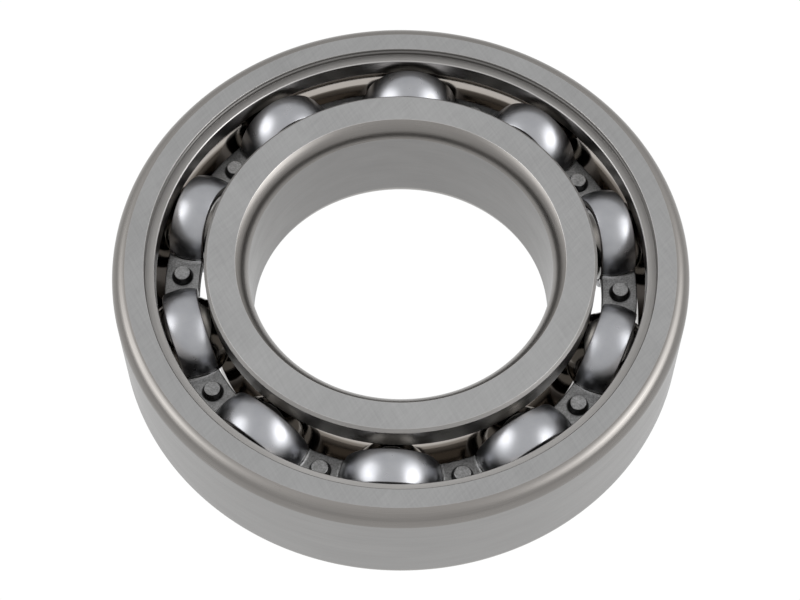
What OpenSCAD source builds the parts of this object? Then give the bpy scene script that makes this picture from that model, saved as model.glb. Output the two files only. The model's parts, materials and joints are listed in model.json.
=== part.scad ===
// Open single-row deep groove ball bearing with a riveted ribbon cage.
// The bearing lies on its lower side face. Its axis is +Z, and the origin is the
// centre of that lower face. All sizes are in millimetres, angles in degrees.

/* [Bearing] */
// Bore diameter of the inner ring
bore_d = 45; // [37.5:0.5:48]
// Outside diameter of the outer ring
outer_d = 85; // [82:0.5:102]
// Width of both rings
width = 19; // [15.8:0.1:26]

/* [Balls and raceways] */
// Diameter of each ball
ball_d = 12.7; // [10:0.1:14]
// Number of balls in the row
ball_count = 10; // [6:1:11]
// Angle of the first ball about the bearing axis, from +X
first_ball_angle = 87.5; // [0:0.5:360]
// Gap between a centred ball and each raceway
ball_gap = 0.01; // [0.005:0.005:0.04]
// How much larger the inner raceway's groove radius is than the ball's radius
inner_groove_extra = 0.19; // [0.1:0.01:0.4]
// How much larger the outer raceway's groove radius is than the ball's radius
outer_groove_extra = 0.29; // [0.1:0.01:0.5]
// Depth of the inner raceway below its two shoulders
inner_shoulder_h = 2.75; // [1.8:0.05:3.1]
// Depth of the outer raceway below its two shoulders
outer_shoulder_h = 2.65; // [1.8:0.05:3.1]

/* [Ring edges] */
// Radial width of the rounded corner on the outer ring's outside edge
outer_corner_w = 2.05; // [1.9:0.05:2.2]
// Axial length of that corner
outer_corner_h = 2.2; // [1.9:0.05:2.2]
// Radius of that corner's arc
outer_corner_r = 2.3; // [2.3:0.1:6]
// Radial width of the rounded corner at each mouth of the bore
bore_corner_w = 1.8; // [1.5:0.05:2.2]
// Axial length of that corner
bore_corner_h = 2.75; // [2.2:0.05:2.8]
// Radius of that corner's arc
bore_corner_r = 4.5; // [3.5:0.1:12]
// Chamfer on the inner ring's shoulder edges
land_chamfer = 0.45; // [0.2:0.05:1]
// Chamfer that breaks every other machined edge
edge_break = 0.12; // [0.05:0.01:0.2]

/* [Side recess of the outer ring] */
// Radial width of the ledge between the shoulder and the side face
recess_w = 1.35; // [0.8:0.05:2]
// Depth of the ledge below the side face
recess_depth = 1.3; // [1.2:0.05:1.8]
// Height of the straight lip between the side face and the snap groove
lip_h = 0.4; // [0.2:0.05:0.5]
// Radial depth of the snap groove behind the lip
snap_groove_w = 0.3; // [0.1:0.05:0.4]

/* [Cage] */
// Thickness of the pressed sheet
sheet_t = 1; // [0.7:0.05:1.1]
// Gap between the ribbon's inner edge and the inner ring's shoulder
ribbon_gap_inside = 1.36; // [0.9:0.02:1.7]
// Gap between the ribbon's outer edge and the outer ring's shoulder
ribbon_gap_outside = 0.76; // [0.3:0.02:1.1]
// Gap between a centred ball and its pocket
pocket_gap = 0.12; // [0.05:0.01:0.25]
// Outside radius of the bend between a pocket and the flat pad beside it
bend_r = 0.5; // [0.3:0.05:0.7]

/* [Rivets] */
// Shank diameter
shank_d = 1.7; // [1.2:0.1:1.9]
// Clearance around the shank in its hole, on the radius
shank_gap = 0.02; // [0.01:0.01:0.05]
// Diameter of the closed head where it meets the pad
head_base_d = 2.9; // [2.5:0.1:3.1]
// Diameter of the closed head's flat top
head_top_d = 2.4; // [2.2:0.1:2.45]
// Height of the closed head above the pad
head_h = 1.15; // [0.7:0.05:1.5]
// Diameter of the button head on the other side
button_d = 3; // [2.5:0.1:3.2]
// Height of the button head
button_h = 0.95; // [0.6:0.05:1.2]

/* [Hidden] */
$fn = 96;

ball_r = ball_d / 2;
outer_r = outer_d / 2;
bore_r = bore_d / 2;
half_width = width / 2;
pitch_r = (bore_r + outer_r) / 2;
ball_pitch_angle = 360 / ball_count;

inner_groove_r = ball_r + inner_groove_extra;
outer_groove_r = ball_r + outer_groove_extra;
inner_raceway_r = pitch_r - ball_r - ball_gap;
outer_raceway_r = pitch_r + ball_r + ball_gap;
inner_land_r = inner_raceway_r + inner_shoulder_h;
outer_land_r = outer_raceway_r - outer_shoulder_h;
recess_r = outer_land_r + recess_w;

pocket_r = ball_r + pocket_gap;
dome_r = pocket_r + sheet_t;
cage_inner_r = inner_land_r + ribbon_gap_inside;
cage_outer_r = outer_land_r - ribbon_gap_outside;
ribbon_w = cage_outer_r - cage_inner_r;
// The rivets stand on the ribbon's middle circle.
ribbon_r = (cage_inner_r + cage_outer_r) / 2;
// Centre of a bend, measured from its pocket's centre.
bend_z = sheet_t + bend_r;
bend_x = sqrt(pow(dome_r + bend_r, 2) - pow(bend_z, 2));
// The bend's arc is this much larger than one that only touches the dome and
// the pad, so that it meets both of them at a clean edge.
bend_ease = 0.02;
// Far enough from a pocket's centre to reach past the next rivet.
pad_reach = cage_outer_r * sin(ball_pitch_angle / 2) + ribbon_w;

// Each half pad runs this angle past the next rivet, into its neighbour.
pad_overlap_angle = 0.5;

// How far a cutting shape runs past the face that it opens.
past = 1;
// How far a corner's cutting square runs past both ends of the corner arc.
arc_overlap = 0.1;

function two_digits(n) = str(n < 10 ? "0" : "", n);
BALL_NODES = [for (i = [1 : ball_count]) str("ball_", two_digits(i))];
RIVET_NODES = [for (i = [1 : ball_count]) str("rivet_", two_digits(i))];

// Ball number i, counted from 0. Each rivet stands half a pitch after its ball.
function ball_angle(i) = first_ball_angle + i * ball_pitch_angle;
function rivet_angle(i) = ball_angle(i) + ball_pitch_angle / 2;

// Lifts a shape that is drawn about the middle plane of the bearing.
module at_middle() {
    translate([0, 0, half_width]) children();
}

// Draws a half section, and its mirror image below the middle plane.
module both_sides() {
    children();
    mirror([0, 1]) children();
}

// Area that a corner arc takes off an edge pointing to +X and +Y. The arc of
// radius r runs from the side face, y = 0, down to the cylinder, x = 0. The square
// reaches arc_overlap further, so that the arc alone ends on both surfaces.
module corner_cut(w, h, r) {
    chord = norm([w, h]);
    inward = sqrt(r * r - chord * chord / 4) / chord;
    reach = [w + arc_overlap, h + arc_overlap];
    difference() {
        translate(-reach) square(reach + [past, past]);
        translate([-w / 2 - h * inward, -h / 2 - w * inward]) circle(r = r);
    }
}

// Area that a 45 degree chamfer takes off an edge pointing to +X and +Y.
module chamfer_cut(size) {
    polygon([[-size - past, past], [past, past], [past, -size - past]]);
}

// Recess beside the shoulder of the outer ring, from the side face y = 0 down:
// edge break, lip, snap groove with a sloping lower flank, wall, and the ledge.
module recess_cut() {
    groove_r = recess_r + snap_groove_w;
    flank_top = -lip_h - snap_groove_w / 2;
    polygon([
        [outer_land_r - past, past],
        [recess_r + edge_break + past, past],
        [recess_r, -edge_break],
        [recess_r, -lip_h],
        [groove_r, flank_top],
        [recess_r, flank_top - snap_groove_w],
        [recess_r, -recess_depth],
        [outer_land_r + edge_break, -recess_depth],
        [outer_land_r, -recess_depth - edge_break],
        [outer_land_r - past, -recess_depth - edge_break]
    ]);
}

module outer_ring_section() {
    difference() {
        translate([outer_land_r, -half_width]) square([outer_r - outer_land_r, width]);
        translate([outer_raceway_r - outer_groove_r, 0]) circle(r = outer_groove_r);
        both_sides() {
            translate([outer_r, half_width])
                corner_cut(outer_corner_w, outer_corner_h, outer_corner_r);
            translate([0, half_width]) recess_cut();
        }
    }
}

module inner_ring_section() {
    difference() {
        translate([bore_r, -half_width]) square([inner_land_r - bore_r, width]);
        translate([inner_raceway_r + inner_groove_r, 0]) circle(r = inner_groove_r);
        both_sides() {
            translate([bore_r, half_width])
                mirror([1, 0]) corner_cut(bore_corner_w, bore_corner_h, bore_corner_r);
            translate([inner_land_r, half_width]) chamfer_cut(land_chamfer);
        }
    }
}

module outer_ring() {
    color([0.66, 0.65, 0.63]) at_middle() rotate_extrude() outer_ring_section();
}

module inner_ring() {
    color([0.68, 0.67, 0.66]) at_middle() rotate_extrude() inner_ring_section();
}

module ball(i) {
    color([0.72, 0.73, 0.76])
        at_middle()
            rotate([0, 0, ball_angle(i)])
                translate([pitch_r, 0, 0])
                    sphere(r = ball_r);
}

// Area between the middle plane and the bend beside a pocket. The arc of
// radius r runs from the pocket's wall out to the level of the pad.
module bend_area(r) {
    difference() {
        polygon([[0, -past], [bend_x, -past], [bend_x, bend_z], [0, 0]]);
        translate([bend_x, bend_z]) circle(r = r + bend_ease);
    }
}

// Section of the pressed sheet from the top of a pocket out to the pads: the
// dome, the bend and the flat, all of one thickness.
module sheet_section() {
    intersection() {
        difference() {
            union() {
                circle(r = dome_r);
                square([pad_reach, sheet_t]);
                bend_area(bend_r);
            }
            circle(r = pocket_r);
            bend_area(bend_r + sheet_t);
        }
        square([pad_reach, dome_r]);
    }
}

// One pocket and half of the pad on each side of it, wider than the ribbon.
module pocket() {
    reach = 2 * pad_reach + pitch_r;
    half_angle = ball_pitch_angle / 2 + pad_overlap_angle;
    side = [reach, reach * tan(half_angle)];
    intersection() {
        translate([pitch_r, 0, 0]) rotate_extrude() sheet_section();
        linear_extrude(height = dome_r + past)
            polygon([[0, 0], [side.x, -side.y], side]);
    }
}

// Flat ring that the ribbon covers, seen along the bearing axis.
module ribbon_area() {
    difference() {
        circle(r = cage_outer_r);
        circle(r = cage_inner_r);
    }
}

// The half of the cage above the middle plane.
module cage_half() {
    difference() {
        intersection() {
            for (i = [0 : ball_count - 1]) {
                rotate([0, 0, ball_angle(i)]) pocket();
            }
            translate([0, 0, -past])
                linear_extrude(height = dome_r + 2 * past)
                    ribbon_area();
        }
        for (i = [0 : ball_count - 1]) {
            rotate([0, 0, rivet_angle(i)])
                translate([ribbon_r, 0, -past])
                    cylinder(r = shank_d / 2 + shank_gap, h = sheet_t + 2 * past);
        }
    }
}

module cage_upper_half() {
    color([0.52, 0.52, 0.53]) at_middle() cage_half();
}

module cage_lower_half() {
    color([0.5, 0.5, 0.51]) at_middle() mirror([0, 0, 1]) cage_half();
}

// Half section of a rivet about its own axis, with y = 0 between the two halves
// of the cage: a tapered closed head above, a round button head below.
module rivet_section() {
    button_r = (pow(button_d / 2, 2) + pow(button_h, 2)) / (2 * button_h);
    polygon([
        [0, -sheet_t],
        [shank_d / 2, -sheet_t],
        [shank_d / 2, sheet_t],
        [head_base_d / 2, sheet_t],
        [head_top_d / 2, sheet_t + head_h - edge_break],
        [head_top_d / 2 - edge_break, sheet_t + head_h],
        [0, sheet_t + head_h]
    ]);
    intersection() {
        translate([0, button_r - button_h - sheet_t]) circle(r = button_r);
        translate([0, -sheet_t - button_h]) square([button_d, button_h]);
    }
}

module rivet(i) {
    color([0.55, 0.55, 0.56])
        at_middle()
            rotate([0, 0, rivet_angle(i)])
                translate([ribbon_r, 0, 0])
                    rotate_extrude() rivet_section();
}

outer_ring();
inner_ring();
cage_upper_half();
cage_lower_half();
for (i = [0 : ball_count - 1]) {
    ball(i);
    rivet(i);
}
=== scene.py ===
import json
import math

import bmesh
import bpy
from mathutils import Euler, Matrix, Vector


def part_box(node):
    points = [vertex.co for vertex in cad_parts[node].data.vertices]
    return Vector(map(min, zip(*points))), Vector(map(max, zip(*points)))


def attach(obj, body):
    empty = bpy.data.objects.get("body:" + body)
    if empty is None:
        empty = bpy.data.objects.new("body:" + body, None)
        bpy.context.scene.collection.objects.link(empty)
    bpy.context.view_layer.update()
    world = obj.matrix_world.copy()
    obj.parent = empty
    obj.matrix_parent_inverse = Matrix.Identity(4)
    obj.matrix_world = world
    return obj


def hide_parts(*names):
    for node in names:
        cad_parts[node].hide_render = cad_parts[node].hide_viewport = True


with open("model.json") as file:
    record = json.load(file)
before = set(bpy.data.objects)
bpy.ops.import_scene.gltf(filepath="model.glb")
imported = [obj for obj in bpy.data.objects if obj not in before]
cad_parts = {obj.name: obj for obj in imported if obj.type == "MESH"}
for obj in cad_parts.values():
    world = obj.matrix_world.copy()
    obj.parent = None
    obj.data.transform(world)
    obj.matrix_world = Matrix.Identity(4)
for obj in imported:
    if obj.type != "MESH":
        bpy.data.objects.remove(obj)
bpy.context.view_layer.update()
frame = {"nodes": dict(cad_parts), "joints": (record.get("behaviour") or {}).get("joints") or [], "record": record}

MM = 0.001
SMALL = 1e-9

# ---------------------------------------------------------------- sizes in mm


def mount(name):
    return next(m for m in frame["record"]["mounts"] if m["name"] == name)


def joint(name):
    return next(j for j in frame["joints"] if j["name"] == name)


OUTER_R = mount("housing_seat")["dims"]["r_mm"]
BORE_R = mount("shaft_bore")["dims"]["r_mm"]
WIDTH = (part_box("outer_ring")[1].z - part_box("outer_ring")[0].z) / MM
HALF = WIDTH / 2
MID_Z = joint("inner_ring_spin")["pos_m"][2] / MM
BALLS = sorted(name for name in frame["nodes"] if name.startswith("ball_"))
RIVETS = sorted(name for name in frame["nodes"] if name.startswith("rivet_"))
BALL_CENTRES = [[c / MM for c in joint(b + "_spin")["pos_m"]] for b in BALLS]
PITCH_R = math.hypot(BALL_CENTRES[0][0], BALL_CENTRES[0][1])
FIRST_ANGLE = math.atan2(BALL_CENTRES[0][1], BALL_CENTRES[0][0])
STEP = 2 * math.pi / len(BALLS)
BALL_R = 6.35
BALL_SUBDIVISIONS = 5

# rings
OUTER_RACEWAY_R = 38.86
OUTER_GROOVE_R = 6.64
OUTER_LAND_R = 36.21
INNER_RACEWAY_R = 26.14
INNER_GROOVE_R = 6.54
INNER_LAND_R = 28.89
LAND_CHAMFER = 0.45
OUTER_CORNER = (2.05, 2.2, 2.3)
BORE_CORNER = (1.8, 2.75, 4.5)
RECESS_R = 37.56
RECESS_DEPTH = 1.3
LIP_H = 0.4
SNAP_W = 0.3
EDGE_BREAK = 0.12
CREASE = 0.05
EDGE_ROUND = 0.1
CORNER_STEPS = 14
GROOVE_STEPS = 28
RING_SEGMENTS = 400

# cage
SHEET_T = 1.0
POCKET_R = 6.47
DOME_R = POCKET_R + SHEET_T
BEND_R = 0.5
BEND_Z = SHEET_T + BEND_R
BEND_X = math.sqrt((DOME_R + BEND_R) ** 2 - BEND_Z**2)
RIBBON_W = 5.2
RIVET_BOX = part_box(RIVETS[0])
RIBBON_R = ((RIVET_BOX[0] + RIVET_BOX[1]) / 2).xy.length / MM
CAGE_INNER_R = RIBBON_R - RIBBON_W / 2
CAGE_OUTER_R = RIBBON_R + RIBBON_W / 2
SHEET_EDGE = 0.14
HOLE_R = 0.87

# rivets
SHANK_R = 0.85
HEAD_BASE_R = 1.45
HEAD_TOP_R = 1.2
HEAD_H = 1.15
HEAD_ROUND = 0.16
HEAD_DIMPLE = 0.03
HEAD_DIMPLE_EDGE = 0.025
HEAD_FOOT = 0.12
HEAD_UNDERCUT = 0.05
BUTTON_R = 1.5
BUTTON_H = 0.95
CAP_STEPS = 12
RIVET_SEGMENTS = 64


# ---------------------------------------------------------------- mesh helpers


def make_piece(name, verts, faces, zones, materials, node, body):
    mesh = bpy.data.meshes.new(name)
    mesh.from_pydata([Vector(v) * MM for v in verts], [], faces)
    names = sorted(set(zones))
    for zone in names:
        mesh.materials.append(materials[zone])
    mesh.polygons.foreach_set("material_index", [names.index(z) for z in zones])
    mesh.polygons.foreach_set("use_smooth", [True] * len(faces))
    mesh.update()
    piece = bpy.data.objects.new(name, mesh)
    bpy.context.scene.collection.objects.link(piece)
    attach(piece, body)
    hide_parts(node)
    return piece


def arc(cx, cz, radius, start, end, count):
    """Points of an arc from one angle to the other, both in radians, ends included."""
    turns = [start + (end - start) * i / count for i in range(count + 1)]
    return [(cx + radius * math.cos(t), cz + radius * math.sin(t)) for t in turns]


def corner_arc(w, h, radius):
    """Corner arc from the side face to the cylinder, measured from the sharp corner."""
    chord = math.hypot(w, h)
    inward = math.sqrt(radius**2 - chord**2 / 4) / chord
    cx, cz = -w / 2 - h * inward, -h / 2 - w * inward
    start = math.atan2(-cz, -w - cx)
    end = math.atan2(-h - cz, -cx)
    return arc(cx, cz, radius, start, end, CORNER_STEPS)


def run(points, zone, last_round=0.0):
    """Section points of one surface; the last one may be rounded."""
    out = [[p[0], p[1], 0.0, zone] for p in points]
    out[-1][2] = last_round
    return out


def mirrored(points):
    """The same points under the mid-plane, backwards, with each zone kept on its own stretch."""
    back = []
    for i in range(len(points) - 1, -1, -1):
        r, z, rounding, _ = points[i]
        back.append([r, -z, rounding, points[i - 1][3] if i else points[0][3]])
    return back


def rounded(points):
    """Draws each rounding as a small arc, with a support point beside it on long stretches."""
    out = []
    count = len(points)
    for i, (r, z, rounding, zone) in enumerate(points):
        here = Vector((r, z))
        before, after = Vector(points[i - 1][:2]), Vector(points[(i + 1) % count][:2])
        into, away = (here - before).normalized(), (after - here).normalized()
        turn = into.angle_signed(away, 0.0)
        if rounding <= 0 or abs(turn) < 0.02:
            out.append((r, z, zone))
            continue
        reach = rounding * math.tan(abs(turn) / 2)
        reach = min(reach, 0.45 * (here - before).length, 0.45 * (after - here).length)
        entry_zone = points[i - 1][3]
        if (here - before).length > 6 * reach:
            p = here - into * (reach * 1.6)
            out.append((p.x, p.y, entry_zone))
        start, end = here - into * reach, here + away * reach
        for k in range(5):
            t = k / 4
            p = start * (1 - t) ** 2 + here * 2 * t * (1 - t) + end * t**2
            # roundings in the recess keep its painted shade; all others get the brighter edge steel with its
            # painted highlight
            blend = "recess" if zone == "recess" else "edge"
            out.append((p.x, p.y, blend if k < 4 else zone))
        if (after - here).length > 6 * reach:
            p = here + away * (reach * 1.6)
            out.append((p.x, p.y, zone))
    return out


def lathe(points, centre, segments, closed):
    """Turns a clockwise section (radius, height, zone) round a vertical axis at centre."""
    verts, faces, zones, rows = [], [], [], []
    for r, z, _ in points:
        if r < SMALL:
            rows.append([len(verts)] * segments)
            verts.append((centre[0], centre[1], centre[2] + z))
            continue
        rows.append(list(range(len(verts), len(verts) + segments)))
        for j in range(segments):
            a = 2 * math.pi * j / segments
            verts.append(
                (centre[0] + r * math.cos(a), centre[1] + r * math.sin(a), centre[2] + z)
            )
    count = len(points)
    for i in range(count if closed else count - 1):
        upper, lower = rows[i], rows[(i + 1) % count]
        for j in range(segments):
            k = (j + 1) % segments
            face = [upper[j], lower[j], lower[k], upper[k]]
            face = [v for n, v in enumerate(face) if v not in face[:n]]
            faces.append(face)
            zones.append(points[i][2])
    return verts, faces, zones


# ---------------------------------------------------------------- rings


def outer_ring_section():
    centre_r = OUTER_RACEWAY_R - OUTER_GROOVE_R
    reach = math.acos((OUTER_LAND_R - centre_r) / OUTER_GROOVE_R)
    ledge_z = HALF - RECESS_DEPTH
    groove_z = HALF - LIP_H - SNAP_W / 2
    half = run(arc(centre_r, 0, OUTER_GROOVE_R, 0, reach, GROOVE_STEPS), "raceway", EDGE_ROUND)
    half[-1][3] = "land"
    half += run([(OUTER_LAND_R, ledge_z - EDGE_BREAK)], "edge", CREASE)
    half += run([(OUTER_LAND_R + EDGE_BREAK, ledge_z)], "ledge", CREASE)
    half += run([(RECESS_R, ledge_z)], "recess", CREASE)
    half += run([(RECESS_R, groove_z - SNAP_W)], "recess", CREASE)
    half += run([(RECESS_R + SNAP_W, groove_z)], "recess", CREASE)
    half += run([(RECESS_R, HALF - LIP_H)], "recess", CREASE)
    half += run([(RECESS_R, HALF - EDGE_BREAK)], "recess", CREASE)
    half += run([(RECESS_R + EDGE_BREAK, HALF)], "face", CREASE)
    corner = [(OUTER_R + x, HALF + z) for x, z in corner_arc(*OUTER_CORNER)]
    half += run(corner, "corner", CREASE)
    half[-len(corner)][2] = EDGE_ROUND
    half[-1][3] = "seat"
    return rounded(half + mirrored(half)[:-1])


def inner_ring_section():
    centre_r = INNER_RACEWAY_R + INNER_GROOVE_R
    reach = math.acos((centre_r - INNER_LAND_R) / INNER_GROOVE_R)
    corner = [(BORE_R - x, HALF + z) for x, z in reversed(corner_arc(*BORE_CORNER))]
    half = run(corner, "corner", EDGE_ROUND)
    half[0][2], half[-1][3] = CREASE, "face"
    half += run([(INNER_LAND_R - LAND_CHAMFER, HALF)], "ledge", CREASE)
    half += run([(INNER_LAND_R, HALF - LAND_CHAMFER)], "land", CREASE)
    groove = arc(centre_r, 0, INNER_GROOVE_R, math.pi - reach, math.pi, GROOVE_STEPS)
    half += run(groove, "raceway")
    half[-len(groove)][2] = EDGE_ROUND
    below = mirrored(half)[1:]
    below[-1][3] = "seat"
    return rounded(half + below)


def ring(node, section, body, materials):
    verts, faces, zones = lathe(section, (0, 0, MID_Z), RING_SEGMENTS, True)
    return make_piece(
        node + "_ground", verts, faces, zones, materials, node, body
    )


# ---------------------------------------------------------------- balls


def ball(node, centre, material):
    bm = bmesh.new()
    bmesh.ops.create_icosphere(bm, subdivisions=BALL_SUBDIVISIONS, radius=BALL_R)
    verts = [tuple(v.co + Vector(centre)) for v in bm.verts]
    faces = [[v.index for v in f.verts] for f in bm.faces]
    bm.free()
    return make_piece(
        node + "_polished",
        verts,
        faces,
        ["ball"] * len(faces),
        {"ball": material},
        node,
        node,
    )


# ---------------------------------------------------------------- cage

DOME_LEAN = math.atan2(BEND_X, BEND_Z)
BEND_START = -math.pi / 2 - DOME_LEAN
DOME_STATIONS = 18
BEND_STATIONS = 6
PAD_STATIONS = 10
# how far each ring of a pad's face lies from its border, 0, to the rivet hole, 1
PAD_RINGS = (0.06, 0.45, 0.8, 0.97, 1.0)
TOP_COUNT = 12


def turn_at(r, reach):
    """Angle from the pocket's centre line at which radius r is this far from the centre."""
    c = (r * r + PITCH_R * PITCH_R - reach * reach) / (2 * r * PITCH_R)
    return math.acos(max(-1.0, min(1.0, c)))


def dome_point(share, r, depth):
    """A point of the round part, share 0 at the pocket's middle and 1 where the bend starts."""
    radius = DOME_R - depth
    turn = share * turn_at(r, radius * math.sin(DOME_LEAN))
    flat = r * r + PITCH_R * PITCH_R - 2 * r * PITCH_R * math.cos(turn)
    return turn, math.sqrt(max(0.0, radius * radius - flat))


def bend_point(share, r, depth):
    """A point of the bend, share 0 where the dome ends and 1 where the flat pad starts."""
    angle = BEND_START + (-math.pi / 2 - BEND_START) * share
    radius = BEND_R + depth
    return (
        turn_at(r, BEND_X + radius * math.cos(angle)),
        BEND_Z + radius * math.sin(angle),
    )


def sheet_outline():
    """The sheet's section as (radius, depth under the outer surface), outer surface first."""
    e, t = SHEET_EDGE, SHEET_T
    lo, hi = CAGE_INNER_R, CAGE_OUTER_R
    width = hi - lo - 2 * e
    spread = [0, 0.012] + [i / TOP_COUNT for i in range(1, TOP_COUNT)] + [0.988, 1]
    top = [(lo + e + width * s, 0.0) for s in spread]
    corner = [
        (e * math.sin(a), e * (1 - math.cos(a)))
        for a in (math.pi / 8, math.pi / 4, 3 * math.pi / 8)
    ]
    down = [(hi - e + x, y) for x, y in corner] + [(hi, e), (hi, t / 2), (hi, t - e)]
    down += [(hi - e + x, t - y) for x, y in reversed(corner)]
    bottom = [(r, t) for r, _ in reversed(top)]
    up = [(lo + e - x, t - y) for x, y in corner] + [(lo, t - e), (lo, t / 2), (lo, e)]
    up += [(lo + e - x, y) for x, y in reversed(corner)]
    return top, down, bottom, up


class Sheet:
    """Collects the points and faces of one cage half. side is 1 above the mid-plane, -1 below."""

    def __init__(self, side):
        self.side = side
        self.verts = []
        self.faces = []

    def point(self, centre_angle, r, turn, z):
        a = centre_angle + turn
        self.verts.append((r * math.cos(a), r * math.sin(a), MID_Z + self.side * z))
        return len(self.verts) - 1

    def quad(self, row_a, row_b, i):
        j = (i + 1) % len(row_a)
        self.faces.append([row_a[i], row_b[i], row_b[j], row_a[j]])

    def strip(self, row_a, row_b):
        for i in range(len(row_a)):
            self.quad(row_a, row_b, i)


def add_pocket(sheet, outline, centre_angle):
    """The dome over one ball with the bend on each side. Returns its first and last rows."""
    steps = [(bend_point, 1 - i / BEND_STATIONS, -1) for i in range(BEND_STATIONS)]
    steps += [
        (dome_point, abs(i / DOME_STATIONS), 1 if i >= 0 else -1)
        for i in range(-DOME_STATIONS, DOME_STATIONS + 1)
    ]
    steps += [(bend_point, (i + 1) / BEND_STATIONS, 1) for i in range(BEND_STATIONS)]
    rows = []
    for point, share, sign in steps:
        row = []
        for r, depth in outline:
            turn, z = point(share, r, depth)
            row.append(sheet.point(centre_angle, r, sign * turn, z))
        rows.append(row)
    for row_a, row_b in zip(rows, rows[1:]):
        sheet.strip(row_a, row_b)
    return rows[0], rows[-1]


def add_pad_edges(sheet, outline, flats, start, end, pad_middle):
    """The two long edges of a flat pad. Returns its rows; inside the flats they hold no point."""
    rows = [start]
    for k in range(1, PAD_STATIONS):
        row = []
        for i, (r, depth) in enumerate(outline):
            if any(lo < i < hi for lo, hi in flats):
                row.append(None)
                continue
            turn = (turn_at(r, BEND_X) - STEP / 2) * (1 - 2 * k / PAD_STATIONS)
            row.append(sheet.point(pad_middle, r, turn, SHEET_T - depth))
        rows.append(row)
    rows.append(end)
    for row_a, row_b in zip(rows, rows[1:]):
        for i in range(len(outline)):
            if not any(lo <= i < hi for lo, hi in flats):
                sheet.quad(row_a, row_b, i)
    return rows


def add_pad_face(sheet, rows, lo, hi, shank):
    """One flat face of a pad, in rings from its border to the rivet hole. Returns the hole's rim."""
    start, end, inner = rows[0], rows[-1], rows[1:-1]
    border = start[lo:hi] + [start[hi]] + [row[hi] for row in inner]
    border += [end[i] for i in range(hi, lo, -1)]
    border += [end[lo]] + [row[lo] for row in reversed(inner)]
    height = sheet.verts[border[0]][2]
    previous = border
    for share in PAD_RINGS:
        ring_row = []
        for v in border:
            edge = Vector(sheet.verts[v][:2])
            rim = (edge - shank).normalized() * HOLE_R + shank
            p = edge.lerp(rim, share)
            sheet.verts.append((p.x, p.y, height))
            ring_row.append(len(sheet.verts) - 1)
        sheet.strip(previous, ring_row)
        previous = ring_row
    return previous


def add_pad(sheet, outline, flats, start, end, pad_middle):
    """A flat pad between two pockets, with its rivet hole."""
    rows = add_pad_edges(sheet, outline, flats, start, end, pad_middle)
    shank = Vector((RIBBON_R * math.cos(pad_middle), RIBBON_R * math.sin(pad_middle)))
    upper, lower = (add_pad_face(sheet, rows, lo, hi, shank) for lo, hi in flats)
    last = flats[0][1]
    matched = [lower[(last - i) % len(lower)] for i in range(len(upper))]
    sheet.strip(upper, matched)


def cage_half(node, side, materials):
    top, down, bottom, up = sheet_outline()
    outline = top + down + bottom + up
    below = len(top) + len(down)
    flats = ((0, len(top) - 1), (below, below + len(bottom) - 1))
    sheet = Sheet(side)
    angles = [FIRST_ANGLE + n * STEP for n in range(len(BALLS))]
    ends = [add_pocket(sheet, outline, angle) for angle in angles]
    for n, angle in enumerate(angles):
        start, end = ends[n][1], ends[(n + 1) % len(ends)][0]
        add_pad(sheet, outline, flats, start, end, angle + STEP / 2)
    zones = ["sheet"] * len(sheet.faces)
    piece = make_piece(
        node + "_pressed", sheet.verts, sheet.faces, zones, materials, node, "cage"
    )
    bm = bmesh.new()
    bm.from_mesh(piece.data)
    bmesh.ops.recalc_face_normals(bm, faces=bm.faces)
    bm.to_mesh(piece.data)
    bm.free()
    return piece


# ---------------------------------------------------------------- rivets


def rivet_section():
    cap_r = (BUTTON_R**2 + BUTTON_H**2) / (2 * BUTTON_H)
    cap_z = cap_r - BUTTON_H - SHEET_T
    half_cap = math.asin(BUTTON_R / cap_r)
    head_z = SHEET_T + HEAD_H
    points = run([(0.0, head_z - HEAD_DIMPLE)], "top")
    points += run([(0.45 * HEAD_TOP_R, head_z - HEAD_DIMPLE_EDGE)], "top")
    points += run([(0.8 * HEAD_TOP_R, head_z)], "top")
    points += run([(HEAD_TOP_R, head_z)], "flank", HEAD_ROUND)
    points += run([(HEAD_BASE_R, SHEET_T + HEAD_FOOT)], "flank", EDGE_ROUND)
    points += run([(HEAD_BASE_R - HEAD_UNDERCUT, SHEET_T)], "flank")
    points += run([(SHANK_R, SHEET_T)], "flank")
    points += run([(SHANK_R, -SHEET_T)], "flank")
    cap = arc(0, cap_z, cap_r, -math.pi / 2 + half_cap, -math.pi / 2, CAP_STEPS)
    cap[-1] = (0.0, cap[-1][1])
    points += run(cap, "top")
    return rounded_open(points)


def rounded_open(points):
    """Rounds the inner points of an open section and leaves its two ends on the axis."""
    outside = -1.0
    ends = [[outside, points[i][1], 0.0, "top"] for i in (0, -1)]
    inner = rounded([ends[0]] + points + [ends[1]])
    return [p for p in inner if p[0] > outside / 2]


def rivet(node, centre, materials):
    verts, faces, zones = lathe(rivet_section(), centre, RIVET_SEGMENTS, False)
    return make_piece(
        node + "_upset", verts, faces, zones, materials, node, "cage"
    )


# ---------------------------------------------------------------- materials

# turned lines and slow waves, as noise cells a metre across them
LINES = 6500.0
WAVES = 160.0
# heights over the mid-plane in mm between which one surface look gives way to the next
# the first pair bounds the painted shade on the raceway's sides
TRACK_TO_FLANK = (0.75, 1.5)
PAD_TO_DOME = (1.04, 1.3)
# the last pair bounds the painted highlight along the bends
BEND_TO_DOME = (1.35, 1.75)
# distance from a rivet's axis in mm over which the painted shade round it fades out
RIVET_SHADE_FADE = (1.52, 1.74)


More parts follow.
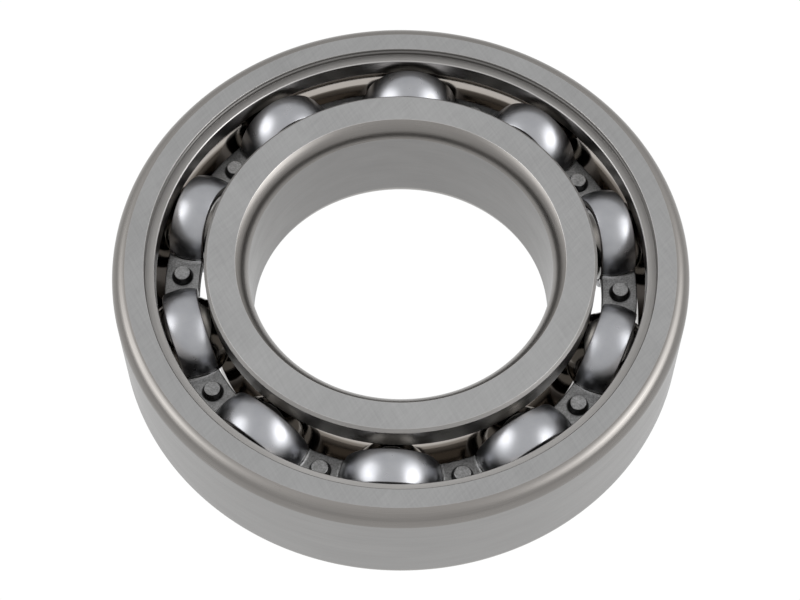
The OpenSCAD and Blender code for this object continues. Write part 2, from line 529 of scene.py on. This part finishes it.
class Graph:
    """Short calls for building one procedural metal material."""

    def __init__(self, name):
        self.material = bpy.data.materials.new(name)
        self.material.use_nodes = True
        self.tree = self.material.node_tree
        self.tree.nodes.clear()
        self.output = self.add("ShaderNodeOutputMaterial")
        self.bsdf = self.add("ShaderNodeBsdfPrincipled")
        self.link(self.bsdf.outputs[0], self.output.inputs["Surface"])
        self.bsdf.inputs["Metallic"].default_value = 1.0
        self.place = self.add("ShaderNodeTexCoord").outputs["Object"]

    def add(self, kind):
        return self.tree.nodes.new(kind)

    def link(self, source, target):
        self.tree.links.new(source, target)

    def feed(self, target, value):
        if isinstance(value, (int, float, tuple, list)):
            target.default_value = value
        else:
            self.link(value, target)

    def math(self, operation, a, b=0.0, clamp=False):
        node = self.add("ShaderNodeMath")
        node.operation = operation
        node.use_clamp = clamp
        self.feed(node.inputs[0], a)
        self.feed(node.inputs[1], b)
        return node.outputs[0]

    def stroked(self, across, along, turn):
        """Coordinates for strokes of this width and length in metres, turned about the vertical."""
        node = self.add("ShaderNodeMapping")
        node.vector_type = "TEXTURE"
        self.feed(node.inputs["Vector"], self.place)
        node.inputs["Scale"].default_value = (across, along, along)
        node.inputs["Rotation"].default_value = Euler((0, 0, turn))
        return node.outputs[0]

    def noise(self, vector, scale, detail=3.0, roughness=0.55):
        node = self.add("ShaderNodeTexNoise")
        self.feed(node.inputs["Vector"], vector)
        node.inputs["Scale"].default_value = scale
        node.inputs["Detail"].default_value = detail
        node.inputs["Roughness"].default_value = roughness
        return node.outputs["Fac"]

    def spread(self, value, from_lo, from_hi, to_lo, to_hi, smooth=False):
        node = self.add("ShaderNodeMapRange")
        node.interpolation_type = "SMOOTHSTEP" if smooth else "LINEAR"
        self.feed(node.inputs["Value"], value)
        for key, number in zip(
            ("From Min", "From Max", "To Min", "To Max"),
            (from_lo, from_hi, to_lo, to_hi),
        ):
            node.inputs[key].default_value = number
        return node.outputs["Result"]

    def fade(self, value, heights):
        """0 under the first height in mm and 1 over the second, with a soft step between."""
        return self.spread(value, heights[0] * MM, heights[1] * MM, 0.0, 1.0, smooth=True)

    def blend(self, share, first, second):
        node = self.add("ShaderNodeMix")
        node.data_type = "RGBA"
        self.feed(node.inputs["Factor"], share)
        self.feed(node.inputs["A"], first)
        self.feed(node.inputs["B"], second)
        return node.outputs["Result"]

    def parts(self):
        node = self.add("ShaderNodeSeparateXYZ")
        self.link(self.place, node.inputs[0])
        return node.outputs

    def around(self):
        """Seamless coordinates: direction round the axis in x and y, and distance from it in z."""
        x, y, z = self.parts()
        flat = self.add("ShaderNodeCombineXYZ")
        self.link(x, flat.inputs[0])
        self.link(y, flat.inputs[1])
        length = self.add("ShaderNodeVectorMath")
        length.operation = "LENGTH"
        self.link(flat.outputs[0], length.inputs[0])
        unit = self.add("ShaderNodeVectorMath")
        unit.operation = "NORMALIZE"
        self.link(flat.outputs[0], unit.inputs[0])
        split = self.add("ShaderNodeSeparateXYZ")
        self.link(unit.outputs[0], split.inputs[0])
        return split.outputs[0], split.outputs[1], length.outputs["Value"], z

    def joined(self, x, y, z):
        node = self.add("ShaderNodeCombineXYZ")
        for socket, value in zip(node.inputs, (x, y, z)):
            self.feed(socket, value)
        return node.outputs[0]

    def bump(self, height, strength, distance):
        node = self.add("ShaderNodeBump")
        node.inputs["Strength"].default_value = strength
        node.inputs["Distance"].default_value = distance
        self.link(height, node.inputs["Height"])
        self.link(node.outputs[0], self.bsdf.inputs["Normal"])

    def finish(self, colour, roughness):
        self.feed(self.bsdf.inputs["Base Color"], colour)
        self.feed(self.bsdf.inputs["Roughness"], roughness)
        return self.material


def grey(value, warmth=0.0):
    return (value * (1 + warmth), value, value * (1 - warmth), 1.0)


def ground_face(name, low, high, rough, warmth=0.0):
    """Side face from a disc grinder: crossed fine strokes and soft cloudy patches."""
    g = Graph(name)
    first = g.noise(g.stroked(0.28 * MM, 5.0 * MM, math.radians(28)), 1.0, 3.0)
    second = g.noise(g.stroked(0.35 * MM, 4.0 * MM, math.radians(-42)), 1.0, 3.0)
    strokes = g.math("MULTIPLY", g.math("ADD", first, second), 0.5)
    cloud = g.noise(g.place, 90.0, 3.0)
    mixed = g.math("ADD", g.math("MULTIPLY", strokes, 0.6), g.math("MULTIPLY", cloud, 0.4))
    share = g.spread(mixed, 0.36, 0.64, 0.0, 1.0)
    colour = g.blend(share, grey(low, warmth), grey(high, warmth))
    g.bump(strokes, 0.12, 0.00002)
    return g.finish(colour, g.spread(mixed, 0.35, 0.65, rough + 0.04, rough - 0.04))


def turned(name, low, high, rough, warmth=0.0, along_axis=False, strength=0.25, drawn=0.5):
    """Fine marks that run round the axis, close together, with slow patches along them."""
    g = Graph(name)
    g.bsdf.inputs["Anisotropic"].default_value = drawn
    way = g.add("ShaderNodeTangent")
    way.direction_type = "RADIAL"
    way.axis = "Z"
    g.link(way.outputs[0], g.bsdf.inputs["Tangent"])
    ux, uy, radius, z = g.around()
    height = z if along_axis else radius
    lines = g.noise(g.joined(ux, uy, g.math("MULTIPLY", height, LINES)), 2.2, 4.0)
    slow = g.noise(g.joined(ux, uy, g.math("MULTIPLY", height, WAVES)), 3.0, 3.0)
    mixed = g.math("ADD", g.math("MULTIPLY", lines, 0.6), g.math("MULTIPLY", slow, 0.4))
    share = g.spread(mixed, 0.36, 0.64, 0.0, 1.0)
    colour = g.blend(share, grey(low, warmth), grey(high, warmth))
    g.bump(lines, strength, 0.00002)
    return g.finish(colour, g.spread(mixed, 0.35, 0.65, rough + 0.05, rough - 0.04))


def raceway_groove(name, track, flank, rough):
    """Groove with a mirror-bright running track in the middle and darker sides, painted shade for the dark the
    sides reflect.
    """
    g = Graph(name)
    ux, uy, _, z = g.around()
    lift = g.math("ABSOLUTE", g.math("SUBTRACT", z, MID_Z * MM))
    marks = g.noise(g.joined(ux, uy, g.math("MULTIPLY", z, LINES)), 2.2, 4.0)
    edge = g.math("ADD", lift, g.math("MULTIPLY", marks, 0.2 * MM))
    side = g.fade(edge, TRACK_TO_FLANK)
    bright = g.blend(marks, grey(track * 0.94, 0.08), grey(track * 1.06, 0.08))
    # painted shade: the sides away from the track get a much darker base
    dark = g.blend(marks, grey(flank * 0.85, 0.14), grey(flank * 1.15, 0.14))
    g.bump(marks, 0.08, 0.00002)
    return g.finish(g.blend(side, bright, dark), g.spread(marks, 0.3, 0.7, rough + 0.03, rough - 0.03))


def pressed_sheet(name):
    """Cage sheet: burnished domes, satin pads, painted shade round each rivet and a painted highlight on the
    bends.
    """
    g = Graph(name)
    ux, uy, radius, z = g.around()
    lift = g.math("ABSOLUTE", g.math("SUBTRACT", z, MID_Z * MM))
    dome = g.fade(lift, PAD_TO_DOME)
    grain = g.noise(g.place, 3800.0, 4.0, 0.65)
    cloud = g.noise(g.place, 420.0, 3.0)
    pad_share = g.spread(g.math("ADD", grain, g.math("MULTIPLY", cloud, 0.6)), 0.6, 1.0, 0.0, 1.0)
    pad = g.blend(pad_share, grey(0.13), grey(0.29))
    turn = g.math("SUBTRACT", g.math("ARCTAN2", uy, ux), FIRST_ANGLE + STEP / 2)
    wrap = g.add("ShaderNodeMath")
    wrap.operation = "WRAP"
    g.feed(wrap.inputs[0], turn)
    wrap.inputs[1].default_value = STEP / 2
    wrap.inputs[2].default_value = -STEP / 2
    aside = g.math("MULTIPLY", wrap.outputs[0], radius)
    out = g.math("SUBTRACT", radius, RIBBON_R * MM)
    gap = g.math("SQRT", g.math("ADD", g.math("POWER", aside, 2.0), g.math("POWER", out, 2.0)))
    # painted shade: the pad goes near-black in a ring round each rivet, where the head shades it
    rivet_shade = g.math("SUBTRACT", 1.0, g.fade(gap, RIVET_SHADE_FADE))
    pad = g.blend(rivet_shade, pad, grey(0.02))
    drawn = g.spread(cloud, 0.35, 0.65, 0.0, 1.0)
    polished = g.blend(drawn, (0.325, 0.33, 0.348, 1.0), (0.352, 0.356, 0.372, 1.0))
    # painted highlight: a bright grey band along each bend between pad and dome
    bend = g.math("MULTIPLY", dome, g.math("SUBTRACT", 1.0, g.fade(lift, BEND_TO_DOME)))
    colour = g.blend(bend, g.blend(dome, pad, polished), grey(0.6))
    rough_pad = g.spread(grain, 0.3, 0.7, 0.46, 0.34)
    polish = g.math("MULTIPLY", bend, 0.16)
    rough_dome = g.math("SUBTRACT", g.spread(cloud, 0.3, 0.7, 0.33, 0.27), polish)
    mix = g.add("ShaderNodeMix")
    mix.data_type = "FLOAT"
    g.feed(mix.inputs["Factor"], dome)
    g.feed(mix.inputs["A"], rough_pad)
    g.feed(mix.inputs["B"], rough_dome)
    height = g.math("MULTIPLY", grain, g.spread(dome, 0.0, 1.0, 1.0, 0.03))
    g.bump(height, 0.5, 0.00004)
    return g.finish(colour, mix.outputs["Result"])


def polished_ball(name):
    """Ball steel with a darker base than the rings, slightly uneven."""
    g = Graph(name)
    fine = g.noise(g.place, 2600.0, 3.0)
    cloud = g.noise(g.place, 300.0, 2.0)
    colour = g.blend(cloud, (0.25, 0.247, 0.24, 1.0), (0.32, 0.317, 0.31, 1.0))
    g.bump(fine, 0.03, 0.00001)
    return g.finish(colour, g.spread(fine, 0.3, 0.7, 0.13, 0.08))


def rivet_top(name):
    """Struck head: speckled with small dents."""
    g = Graph(name)
    speck = g.noise(g.place, 5200.0, 4.0, 0.6)
    cloud = g.noise(g.place, 1500.0, 2.0)
    share = g.spread(g.math("ADD", speck, g.math("MULTIPLY", cloud, 0.5)), 0.55, 0.95, 0.0, 1.0)
    colour = g.blend(share, grey(0.15), grey(0.31))
    g.bump(g.math("ADD", speck, cloud), 0.6, 0.00005)
    return g.finish(colour, g.spread(speck, 0.3, 0.7, 0.42, 0.28))


def rivet_flank(name):
    """Side of the head: a near-black base, painted shade for the dark the flank shows."""
    g = Graph(name)
    speck = g.noise(g.place, 3600.0, 3.0)
    colour = g.blend(speck, grey(0.05), grey(0.12))
    g.bump(speck, 0.3, 0.00003)
    return g.finish(colour, g.spread(speck, 0.3, 0.7, 0.5, 0.36))


# ---------------------------------------------------------------- stage

FLOOR_DROP = 0.02 * MM
FLOOR_HALF = 3.0
WHITE = (1.0, 1.0, 1.0, 1.0)
TABLE_LIGHT = 1.02


def floor():
    """A pale table lit from below, so nothing throws a shadow on it."""
    mesh = bpy.data.meshes.new("floor")
    s = FLOOR_HALF
    corners = [(-s, -s, -FLOOR_DROP), (s, -s, -FLOOR_DROP), (s, s, -FLOOR_DROP), (-s, s, -FLOOR_DROP)]
    mesh.from_pydata(corners, [], [[0, 1, 2, 3]])
    material = bpy.data.materials.new("floor_pale")
    material.use_nodes = True
    tree = material.node_tree
    tree.nodes.clear()
    out = tree.nodes.new("ShaderNodeOutputMaterial")
    lit = tree.nodes.new("ShaderNodeEmission")
    lit.inputs["Color"].default_value = WHITE
    lit.inputs["Strength"].default_value = TABLE_LIGHT
    tree.links.new(lit.outputs[0], out.inputs["Surface"])
    mesh.materials.append(material)
    plane = bpy.data.objects.new("floor", mesh)
    bpy.context.scene.collection.objects.link(plane)


SKY_STEPS = (
    (0.0, 0.8),
    (0.3, 0.88),
    (0.6, 0.96),
    (1.0, 1.0),
)
# direction (azimuth, elevation), half width of the bright core and of the soft edge, light
SOFTBOXES = (
    (168.0, 42.0, 6.0, 26.0, 2.5),
    (192.0, 38.0, 4.0, 22.0, 0.9),
    (10.0, 42.0, 6.0, 26.0, 2.5),
    (-14.0, 38.0, 4.0, 24.0, 2.4),
)


def studio_light():
    """A pale overhead tent that darkens to the horizon, with one softbox on each side."""
    world = bpy.data.worlds.new("studio")
    bpy.context.scene.world = world
    world.use_nodes = True
    tree = world.node_tree
    tree.nodes.clear()
    out = tree.nodes.new("ShaderNodeOutputWorld")
    glow = tree.nodes.new("ShaderNodeBackground")
    place = tree.nodes.new("ShaderNodeTexCoord").outputs["Generated"]
    split = tree.nodes.new("ShaderNodeSeparateXYZ")
    tree.links.new(place, split.inputs[0])
    ramp = tree.nodes.new("ShaderNodeValToRGB")
    tree.links.new(split.outputs["Z"], ramp.inputs["Fac"])
    steps = ramp.color_ramp.elements
    while len(steps) < len(SKY_STEPS):
        steps.new(0.5)
    for element, (where, level) in zip(steps, SKY_STEPS):
        element.position = where
        element.color = (level, level, level, 1.0)
    total = ramp.outputs["Color"]
    for azimuth, elevation, core, edge, light in SOFTBOXES:
        a, e = math.radians(azimuth), math.radians(elevation)
        near = tree.nodes.new("ShaderNodeVectorMath")
        near.operation = "DOT_PRODUCT"
        tree.links.new(place, near.inputs[0])
        near.inputs[1].default_value = (
            math.cos(e) * math.cos(a),
            math.cos(e) * math.sin(a),
            math.sin(e),
        )
        fade = tree.nodes.new("ShaderNodeMapRange")
        fade.interpolation_type = "SMOOTHSTEP"
        tree.links.new(near.outputs["Value"], fade.inputs["Value"])
        fade.inputs["From Min"].default_value = math.cos(math.radians(edge))
        fade.inputs["From Max"].default_value = math.cos(math.radians(core))
        fade.inputs["To Min"].default_value = 0.0
        fade.inputs["To Max"].default_value = light
        add = tree.nodes.new("ShaderNodeMix")
        add.data_type = "RGBA"
        add.blend_type = "ADD"
        add.inputs["Factor"].default_value = 1.0
        tree.links.new(total, add.inputs["A"])
        tree.links.new(fade.outputs["Result"], add.inputs["B"])
        total = add.outputs["Result"]
    tree.links.new(total, glow.inputs["Color"])
    tree.links.new(glow.outputs[0], out.inputs["Surface"])


CAMERA_DISTANCE = 0.30929
CAMERA_ELEVATION = math.radians(59.571)
CAMERA_LENS = 92.4
CAMERA_SHIFT = (-0.0009, -0.0151)


def camera():
    data = bpy.data.cameras.new("camera")
    data.sensor_width = 36.0
    data.lens = CAMERA_LENS
    data.shift_x, data.shift_y = CAMERA_SHIFT
    data.clip_start = 0.01
    data.clip_end = 50.0
    cam = bpy.data.objects.new("camera", data)
    bpy.context.scene.collection.objects.link(cam)
    back = Vector((0, -math.cos(CAMERA_ELEVATION), math.sin(CAMERA_ELEVATION)))
    cam.location = Vector((0, 0, MID_Z * MM)) + back * CAMERA_DISTANCE
    cam.rotation_euler = (-back).to_track_quat("-Z", "Y").to_euler()
    bpy.context.scene.camera = cam


# ---------------------------------------------------------------- build


def ring_materials(which, face, seat):
    """Materials of one ring by zone. face and seat are the mean greys of its ground surfaces."""
    low, high = seat * 0.96, seat * 1.04
    return {
        "face": ground_face(which + "_face", face * 0.9, face * 1.1, 0.32),
        # the corner rounds get a darker base than the faces: painted shade for the dark the rounded corners show
        "corner": turned(which + "_corner", 0.2, 0.226, 0.3, 0.05, along_axis=True),
        "seat": turned(which + "_seat", low, high, 0.36, 0.015, along_axis=True, drawn=0.8),
        "raceway": raceway_groove(which + "_raceway", 0.38, 0.15, 0.11),
        "land": turned(which + "_land", 0.22, 0.3, 0.3, 0.05, along_axis=True),
        # the recess wall gets the darkest base of the ring: painted shade in the recess
        "recess": turned(which + "_recess", 0.12, 0.17, 0.4, 0.03, along_axis=True),
        "ledge": turned(which + "_ledge", 0.27, 0.32, 0.55, 0.03, drawn=0.1),
        # the small edge roundings get a brighter base than the surfaces beside them: polished edges, with a
        # painted highlight
        "edge": turned(which + "_edge", 0.36, 0.46, 0.28, 0.02, along_axis=True),
    }


camera()
floor()
studio_light()
ring("outer_ring", outer_ring_section(), "outer", ring_materials("outer", 0.312, 0.262))
ring("inner_ring", inner_ring_section(), "inner", ring_materials("inner", 0.33, 0.23))
ball_steel = polished_ball("ball_polish")
for ball_name, ball_centre in zip(BALLS, BALL_CENTRES):
    ball(ball_name, ball_centre, ball_steel)
sheet = {"sheet": pressed_sheet("cage_sheet")}
cage_half("cage_upper_half", 1, sheet)
cage_half("cage_lower_half", -1, sheet)
struck = rivet_top("rivet_struck")
# the rivets' sides get painted shade
rivet_side_shade = rivet_flank("rivet_side")
for i, rivet_name in enumerate(RIVETS):
    rivet_angle = FIRST_ANGLE + (i + 0.5) * STEP
    rivet(
        rivet_name,
        (RIBBON_R * math.cos(rivet_angle), RIBBON_R * math.sin(rivet_angle), MID_Z),
        {"top": struck, "flank": rivet_side_shade, "edge": struck},
    )

bpy.context.scene.view_settings.view_transform = "Standard"
